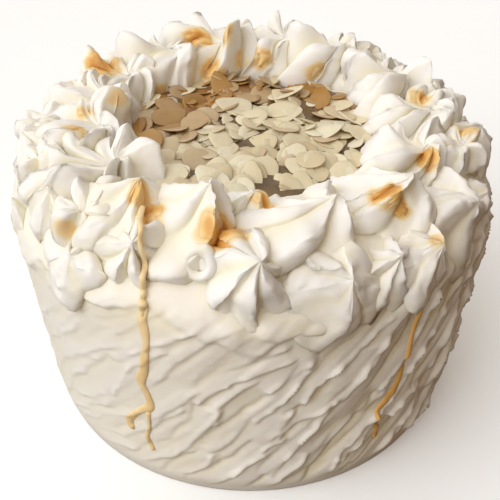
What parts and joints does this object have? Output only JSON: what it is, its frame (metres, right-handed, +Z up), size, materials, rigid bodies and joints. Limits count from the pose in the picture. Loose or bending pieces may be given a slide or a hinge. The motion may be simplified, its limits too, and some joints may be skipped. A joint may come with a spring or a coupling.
{
  "type": "almond cake",
  "caption": "Tall round cake frosted in buttercream, with rows of piped swirls and stars round the top edge, a bed of flaked almonds inside them and caramel run down the side.",
  "frame": {"origin": "centre of the flat base, which stands on a plate or table", "axes": "+Z up, the pictured front faces -Y, +X to the right of that front"},
  "size_m": [0.2338, 0.2335, 0.1675],
  "materials": {
    "buttercream": "soft satin",
    "almond": "matt",
    "caramel": "glossy"
  },
  "bodies": {
    "root": {"cake_body": "buttercream", "swirl_01": "buttercream", "swirl_02": "buttercream", "swirl_03": "buttercream", "swirl_04": "buttercream", "swirl_05": "buttercream", "swirl_06": "buttercream", "swirl_07": "buttercream", "swirl_08": "buttercream", "swirl_09": "buttercream", "swirl_10": "buttercream", "swirl_11": "buttercream", "swirl_12": "buttercream", "swirl_13": "buttercream", "swirl_14": "buttercream", "swirl_15": "buttercream", "star_01": "buttercream", "star_02": "buttercream", "star_03": "buttercream", "star_04": "buttercream", "star_05": "buttercream", "star_06": "buttercream", "star_07": "buttercream", "star_08": "buttercream", "star_09": "buttercream", "star_10": "buttercream", "star_11": "buttercream", "star_12": "buttercream", "star_13": "buttercream", "almond_bed": "almond"}
  },
  "joints": []
}
